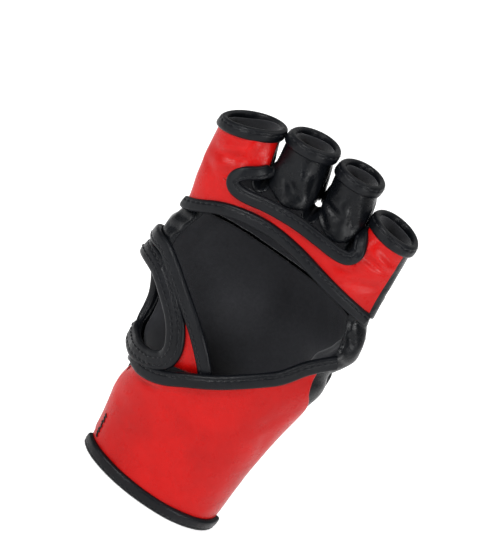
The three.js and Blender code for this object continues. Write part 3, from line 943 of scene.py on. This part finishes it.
def strap_front():
    def surface(u, v):
        d = lerp(float(red_edge(lerp(2.5, 108.0, v))), STRAP_ENDS[1], u)
        return form(d, lerp(2.5, cuff_top(d) - 3.8, v))

    panel("strap_front", "strap_front", surface, 90, 40, RED,
          relief=wrinkled(0.35, 0.10, STRAP_CREASES), flip=-1)
    top = traced(lambda t: cuff_tape_middle(lerp(-29.0, STRAP_ENDS[1], t)))
    binding("strap_top_binding", "strap_front", top, form_outward, CUFF_TAPE, 4.0, flip=-1, seed=31)
    low = traced(lambda t: form(lerp(*STRAP_ENDS, t), 3.45, -0.2))
    binding("strap_bottom_binding", "strap_front", low, form_outward, 6.6, 4.0, seed=32)


def strap_side():
    """The black leather between the strap's red and its seam with the back."""
    def surface(u, v):
        z = lerp(38, 107, v)
        return form(lerp(6.0, float(red_edge(z)) - 5.0, u), z, 1.2)

    part = shell("vis_strap_side", surface, 16, 44, BLACK, 1.2, relief=wrinkled(0.5, 0.3), flip=-1)
    at(*form(5, 80))
    at(*form(-26, 80))
    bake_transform(part)


def bar_tack():
    """The dense stitches in the strap near the thumb."""
    stitches = []
    for k in range(9):
        start = form(-152.0 - 1.5 * (k % 2), 8.5 + 1.35 * k, -0.1)
        end = form(-154.8 - 1.2 * (k % 3), 9.8 + 1.35 * k, -0.1)
        stitches.append((start, end, form_outward(start)))
    points, faces = merged(stitch(*ends, 0.42) for ends in stitches)
    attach(make("vis_strap_bar_tack", points, faces, [THREAD]), "strap_front")


strap_front()
strap_side()
bar_tack()


# ---- back of the hand
# The angles of the back's edges at the little finger's side and the thumb's, by height.
back_ulnar = curve_through([0, 60, 88, 104, 112, 124], [-14, -13, -12, -16, -20, -20])
back_radial = curve_through([0, 44, 54, 64, 76, 88, 98, 112, 124],
                            [198, 196, 182, 164, 157, 161, 170, 176, 177])
BACK_TOP = FOLD_HEIGHT - 1.0
BACK_CREASES = [((49, -9, z + 1.5), (40, 9, z - 1.5), 1.3, 0.55) for z in (108, 112.4, 116.8, 121.2)]
BACK_CREASES += [
    ((-55, 14, 84), (-38, 22, 78), 2.4, 0.5),
    ((-60, 10, 100), (-44, 22, 96), 2.4, 0.5),
]
LINING_CREASES = [
    ((38, -4, 100), (8, 12, 112), 3.0, 1.1),
    ((40, -4, 112), (14, 12, 120), 2.6, 1.0),
]


def under_strap(d, z):
    """How far the back lies below the form: deep under the tab, and shallow at its own edges."""
    tab = 1 - smooth(z, 48, 62)
    front = (1 - smooth(d, 4, 20)) * (1 - smooth(z, 113, 121))
    return 4.6 * max(tab, front)


def back_point(u, z, extra=0.0):
    d = lerp(float(back_ulnar(z)), float(back_radial(z)), u)
    return form(d, z, under_strap(d, z) + extra)


def arch(u):
    """0 at both ends, 1 in the middle, and steep at the ends."""
    return math.sqrt(max(0.0, math.sin(math.pi * u)))


def back_cover():
    def surface(u, v):
        return back_point(u, lerp(3.5, BACK_TOP, v), 1.4 * smooth(v, 0.45, 0.6))

    panel("back_cover", "hand", surface, 84, 56, BLACK,
          relief=wrinkled(0.30, 0.16, BACK_CREASES))


def back_lining():
    def surface(u, v):
        z = lerp(4.5, BACK_TOP, v)
        return back_point(lerp(0.01, 0.99, u), z, 2.6 + 7.5 * arch(u) * smooth(z, 50, 72))

    part = panel("back_lining", "hand", surface, 60, 44, CLOTH, thick=0.8,
                 relief=wrinkled(0.55, 0.30, LINING_CREASES))


back_cover()
back_lining()

PAD_UNDER = -1.6  # height of a pad's under side
PAD_CLOTH = dict(quality=6, mass=0.2, tension_stiffness=12, compression_stiffness=6, shear_stiffness=6,
                 bending_stiffness=0.4, use_pressure=True, uniform_pressure_force=4.0, shrink_min=-0.04)
PUFF_FRAMES = 20


def pillow(name, place, height, columns, rows):
    """A closed pad: place(u, v, height) is a point, and height(u, v) is its outer side's."""
    outer = lattice(lambda u, v: place(u, v, height(u, v)), columns, rows)
    inner = lattice(lambda u, v: place(u, v, PAD_UNDER), columns, rows)
    return slab(name, outer, inner, BLACK)


def inflate(obj, limit):
    """Blows a pad up by a cloth simulation, no point by more than the limit in mm."""
    rest = np.array([v.co for v in obj.data.vertices])
    cloth = obj.modifiers.new("cloth", "CLOTH")
    for key, value in PAD_CLOTH.items():
        setattr(cloth.settings, key, value)
    cloth.settings.effector_weights.gravity = 0
    cloth.point_cache.frame_start = 1
    cloth.point_cache.frame_end = PUFF_FRAMES
    scene = bpy.context.scene
    for f in range(1, PUFF_FRAMES + 1):
        scene.frame_set(f)
    moved = obj.evaluated_get(bpy.context.evaluated_depsgraph_get())
    step = np.array([v.co for v in moved.data.vertices]) - rest
    obj.modifiers.clear()
    scene.frame_set(1)
    far = np.linalg.norm(step, axis=1, keepdims=True)
    co = rest + step * np.minimum(1, limit * MM / np.maximum(far, 1e-9))
    obj.data.vertices.foreach_set("co", co.ravel())
    obj.data.update()


def puff(obj, voxel, limit):
    """Fills a pad: remeshed evenly, blown up a little, then smoothed."""
    remesh = obj.modifiers.new("even", "REMESH")
    remesh.mode = "VOXEL"
    remesh.voxel_size = voxel * MM
    apply_modifiers(obj)
    inflate(obj, limit)
    fair = obj.modifiers.new("fair", "SMOOTH")
    fair.factor = 0.5
    fair.iterations = 3
    soften(obj)
    return obj


def padding(node, place, height, grid, voxel, relief, limit=2.0):
    """A pad that has its relief(place, normal) pressed in along its normal."""
    part = puff(pillow("vis_" + node, place, height, *grid), voxel, limit)
    mesh = part.data
    for v, n in zip(mesh.vertices, [v.normal.copy() for v in mesh.vertices]):
        v.co += n * (relief(drawn(v.co), n) * MM)
    mesh.update()
    return part


def edge_round(u, v, power):
    """1 over most of a pad and 0 on its edge."""
    return (max(0.0, math.sin(math.pi * u)) * max(0.0, math.sin(math.pi * v))) ** power


def back_pad():
    def place(u, v, height):
        z = lerp(62, BACK_TOP - 1.5, v)
        d = lerp(17, 163 - 5 * math.sin(math.pi * v), u)
        return form(d, z, 1.6 - height)

    def height(u, v):
        return 1.8 + 3.9 * edge_round(u, v, 0.35)

    def quilting(p, n):
        """Two sewn channels across the back."""
        arcs = (z + 0.003 * (p[0] + 8) ** 2 for z in (84.0, 105.0))
        sewn = sum(math.exp(-((p[2] - arc) / 1.5) ** 2) for arc in arcs)
        return wrinkles(p) - 1.5 * sewn * max(0.0, n[1])

    wrinkles = wrinkled(0.25, 0.14)
    pad = padding("back_pad", place, height, (44, 26), 2.3, quilting)
    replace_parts(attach(pad, "hand"), "back_foam")


def back_edge_tapes():
    points = [(-45.5, -3, 57.5)]
    points += [form(float(back_radial(z)), z, -0.4) for z in (62, 69, 76, 84, 92, 99)]
    binding("radial_edge_binding", "hand", Path(points), lambda p: away(p, -22.0, 2.0), 6.0, 3.6, seed=21)
    low = traced(lambda t: form(lerp(-13, 193, t), 3.3, 5.8))
    binding("back_rim_binding", "hand", low, form_outward, 6.4, 3.0, flip=-1, seed=23)


back_pad()
back_edge_tapes()


# ---- wrinkled leather at both sides of the palm
LITTLE_SIDE_CREASES = [
    ((30, 131), (41, 117), 1.6, 1.4),
    ((31, 122), (43, 112), 1.6, 1.5),
    ((32, 112), (44, 108), 1.8, 1.4),
    ((34, 118), (43, 113), 2.0, -0.9),
]
THUMB_SIDE_CREASES = [
    ((-66, 112), (-57, 118), 1.6, 1.4),
    ((-64, 120), (-56, 125), 1.6, 1.2),
    ((-66, 2, 114), (-62, 8, 118), 3.0, -1.0),
]


def hem(u, middle, height):
    """A ridge across a panel, as a negative inset."""
    return -height * math.exp(-((u - middle) / 0.06) ** 2)


def side_leather(name, surface, rows, relief):
    part = shell(name, surface, 30, rows, BLACK, 1.6, relief=relief, flip=-1)
    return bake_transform(part)


def palm_sides():
    def little(u, v):
        z = lerp(lerp(100, 103.5, u), 135, v)
        return form(lerp(10, -35.5, u), z, 0.4 + 2.0 * smooth(z, 125, 131) + hem(u, 0.93, 0.9))

    def thumb(u, v):
        z = lerp(lerp(100, 104, u), 132, v)
        return form(lerp(-146.5, -190, u), z, 0.6 + 1.8 * smooth(z, 124, 129) + hem(u, 0.07, 0.8))

    relief = wrinkled(0.45, 0.42, LITTLE_SIDE_CREASES)
    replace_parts(side_leather("vis_ulnar_edge", little, 26, relief), "ulnar_edge_binding")
    relief = wrinkled(0.5, 0.45, THUMB_SIDE_CREASES)
    side_leather("vis_radial_edge", thumb, 24, relief)


palm_sides()


# ---- inside the wrist
def wrist_inner():
    def surface(u, v):
        d = lerp(-56, -160, u)
        corner = 30 * (1 - math.sqrt(1 - max(0.0, 1 - u / 0.3) ** 2))
        return form(d, lerp(0.4, cuff_top(d) - 11 - corner, v), 5.6)

    panel("wrist_inner_panel", "hand", surface, 40, 24, BLACK, relief=wrinkled(0.22, 0.18), flip=-1)


def strap_lining():
    def surface(u, v):
        d = lerp(2, -165, u)
        return form(d, lerp(4, cuff_top(d) - 5, v), 2.4)

    part = panel("strap_front_lining", "strap_front", surface, 60, 26, CLOTH, thick=0.8,
                 relief=wrinkled(0, 0.2), flip=-1)


wrist_inner()
strap_lining()

# ---- knuckles
KNUCKLES = (28.0, 61.0, 93.0, 132.0)  # degrees, from the little finger's to the index finger's


def knuckle_lining():
    def surface(u, v):
        return form(lerp(4, 176, u), lerp(FOLD_HEIGHT + 1, 153, v), 3.4 + 9.5 * arch(u))

    part = panel("knuckle_lining", "knuckles", surface, 50, 12, CLOTH, thick=0.8,
                 relief=wrinkled(0.4, 0.25))


def bridge_lining():
    def surface(u, v):
        d = lerp(-4, -176, u)
        return form(d, lerp(bridge_low(d) - 1, slot_line(d) + 0.5, v), 2.2)

    panel("palm_bridge_lining", "knuckles", surface, 60, 8, CLOTH, thick=0.8, flip=-1)


def knuckle_pad():
    def place(u, v, height):
        return form(lerp(18, 164, u), lerp(FOLD_HEIGHT + 2.0, 153.5, v), 1.6 - height)

    def height(u, v):
        d = lerp(18, 164, u)
        lobe = min(1.0, sum(math.exp(-((d - middle) / 13.5) ** 2) for middle in KNUCKLES))
        return 1.6 + edge_round(u, v, 0.35) * (1.6 + 4.0 * lobe)

    wrinkles = wrinkled(0.18, 0.14)
    pad = padding("knuckle_pad", place, height, (60, 14), 2.2, lambda p, n: wrinkles(p))
    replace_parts(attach(pad, "knuckles"), "knuckle_foam")


def fold_gusset():
    """The thin leather of the crease between the back and the knuckles."""
    def surface(u, v):
        z = lerp(FOLD_HEIGHT - 7, FOLD_HEIGHT + 7, v)
        return form(lerp(-20, 180, u), z, 3.0 + 1.0 * math.sin(math.pi * v))

    part = shell("vis_fold_gusset", surface, 70, 10, BLACK, 1.0, relief=wrinkled(0, 0.3))
    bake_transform(part)


panel("knuckle_cover", "knuckles", patch(-22, 183, FOLD_HEIGHT + 1, 154, 1.6), 70, 14, BLACK,
      relief=wrinkled(0.22, 0.18))
knuckle_lining()
bridge_lining()
knuckle_pad()
fold_gusset()


# ---- finger pads and linings
def finger_pad(name):
    finger = FINGERS[name]

    def place(u, v, height):
        p = sleeve_point(name, lerp(142, 38, u), lerp(0.04, 0.80, v))
        return p + away(p, ring(finger, 90, finger_length(finger) * v)[0], 2.0) * height

    def height(u, v):
        return 1.2 + 3.7 * edge_round(u, v, 0.4)

    wrinkles = wrinkled(0.16, 0.12)
    pad = padding(f"{name}_pad", place, height, (22, 16), 2.0, lambda p, n: wrinkles(p), limit=1.5)
    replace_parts(blend_to_finger(pad), f"{name}_pad")


def finger_lining(name):
    finger = FINGERS[name]

    def surface(u, v):
        p = sleeve_point(name, -360 * u, lerp(0.04, 0.985, v))
        dorsal = max(0.0, math.sin(math.radians(-360 * u))) ** 2
        return p - away(p, ring(finger, 90, finger_length(finger) * v)[0]) * (1.5 + 5.0 * dorsal)

    part = shell(f"vis_{name}_lining", surface, 40, 12, CLOTH, 0.7,
                 relief=wrinkled(0, 0.25), flip=-1, wrap=True)
    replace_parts(blend_to_finger(part), f"{name}_lining")


for finger_name in FINGERS:
    finger_pad(finger_name)
    finger_lining(finger_name)

# ---- strap tab and closure
DEG = 1.9  # degrees to the millimetre on the back of the wrist
TAB_START, TAB_END = -168.0, -300.0  # degrees
TAB_LOW, TAB_HIGH = 6.0, 45.0
TAB_CORNER = 9.0
BARE_TURN = 28  # degrees; the edge is bare leather where the tab turns the corner
TAB_CREASES = [((-44, 2, 42), (-40, 6, 10), 2.6, 0.5)]


def tab_outline():
    """The line of the tab's tape, as angle and height."""
    inset = 3.3
    reach = TAB_CORNER - inset
    turn = TAB_END + TAB_CORNER * DEG
    points = [(d, TAB_LOW + inset) for d in np.linspace(TAB_START - BARE_TURN, turn, 12)]
    points += [(turn - reach * DEG * math.sin(a), TAB_LOW + TAB_CORNER - reach * math.cos(a))
               for a in np.linspace(0.25, math.pi / 2, 4)]
    return points + [(d, TAB_LOW + TAB_HIGH - z) for d, z in reversed(points)]


def strap_tab():
    def surface(u, v):
        d = lerp(TAB_START, TAB_END + 3.0 * DEG, u)
        short = TAB_CORNER - min(TAB_CORNER, (d - TAB_END) / DEG)
        cut = TAB_CORNER - math.sqrt(max(0.0, TAB_CORNER ** 2 - short ** 2))
        return form(d, lerp(TAB_LOW + 2.2 + cut, TAB_HIGH - 2.2 - cut, v), 0.2)

    panel("strap_tab", "strap_tab", surface, 70, 22, RED, thick=1.8,
          relief=wrinkled(0.22, 0.1, TAB_CREASES), flip=-1)
    path = Path([form(d, z, -0.2) for d, z in tab_outline()])
    binding("strap_tab_binding", "strap_tab", path, form_outward, CUFF_TAPE - 0.6, 3.6, seed=41)


def strap_bend():
    """The strap where it turns the corner at the thumb."""
    def surface(u, v):
        d = lerp(-163, -173, u)
        return form(d, lerp(lerp(1.5, 8, u), lerp(cuff_top(d) - 1.5, 43.5, u), v), 0.9)

    part = shell("vis_strap_bend", surface, 14, 24, RED, 1.6, flip=-1)
    at(*form(-164, 25))
    at(*form(-172, 25))
    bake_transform(part)


strap_tab()
strap_bend()
panel("hook_patch", "strap_tab", patch(-288, -232, 13, 38, 2.4), 30, 14, HOOK, thick=1.0, flip=-1)
panel("loop_patch", "hand", patch(64, 140, 9, 40, 3.7), 34, 16, LOOP, thick=1.0)

# ---- camera, light, floor
ELEVATION = math.radians(20)
ROLL = math.radians(36)
TARGET = np.array([-5.0, 0.0, 95.0])
AIM_ACROSS, AIM_DOWN = -2.0445, -23.7209  # from the target, along the picture's edges
DISTANCE = 1500.0
FLOOR_HALF = 12.0  # metres


def camera():
    back = np.array([0, -math.cos(ELEVATION), math.sin(ELEVATION)])
    right = np.array([1.0, 0, 0])
    up = np.cross(back, right)
    across = math.cos(ROLL) * right + math.sin(ROLL) * up
    down = math.sin(ROLL) * right - math.cos(ROLL) * up
    place = TARGET + back * DISTANCE
    z = unit(place - TARGET - AIM_ACROSS * across - AIM_DOWN * down)
    x = unit(across - z * (across @ z))
    y = np.cross(z, x)
    data = bpy.data.cameras.new("camera")
    data.sensor_fit = "VERTICAL"
    data.sensor_height = 36
    data.lens = 208.5
    obj = add_object("camera", data)
    obj.matrix_world = Matrix([[*row, p] for row, p in zip(zip(x, y, z), at(*place))] + [[0, 0, 0, 1]])
    bpy.context.scene.camera = obj


def lamp(name, place, target, size, power):
    data = bpy.data.lights.new(name, "AREA")
    data.shape = "RECTANGLE"
    data.size, data.size_y = size
    data.energy = power
    obj = add_object(name, data)
    obj.location = place
    obj.rotation_euler = (Vector(target) - Vector(place)).to_track_quat("-Z", "Y").to_euler()


def floor():
    material = bpy.data.materials.new("floor")
    material.use_nodes = True
    set_inputs(material.node_tree.nodes["Principled BSDF"],
               {"Base Color": (0.85, 0.85, 0.85, 1), "Roughness": 0.9,
                "Emission Color": (1, 1, 1, 1), "Emission Strength": 0.56})
    mesh = bpy.data.meshes.new("floor")
    corners = ((-1, -1), (1, -1), (1, 1), (-1, 1))
    mesh.from_pydata([(x * FLOOR_HALF, y * FLOOR_HALF, 0) for x, y in corners], [], [(0, 1, 2, 3)])
    mesh.materials.append(material)
    add_object("floor", mesh)


def lights():
    world = bpy.data.worlds.new("world")
    world.use_nodes = True
    set_inputs(world.node_tree.nodes["Background"], {"Color": (1, 1, 1, 1), "Strength": 0.34})
    bpy.context.scene.world = world
    lamp("key", (-0.66, -0.62, 0.74), (0, 0, 0.1), (0.20, 0.28), 9.0)
    lamp("top", (0.1, 0.1, 1.3), (0, 0, 0), (1.2, 1.2), 8)
    lamp("side", (0.72, -0.60, 0.45), (0, 0, 0.1), (0.12, 0.4), 6.6)
    lamp("low", (-0.36, -0.95, 0.34), (0, 0, 0.15), (0.06, 0.24), 2.8)


bpy.context.scene.view_settings.view_transform = "Standard"
camera()
floor()
lights()
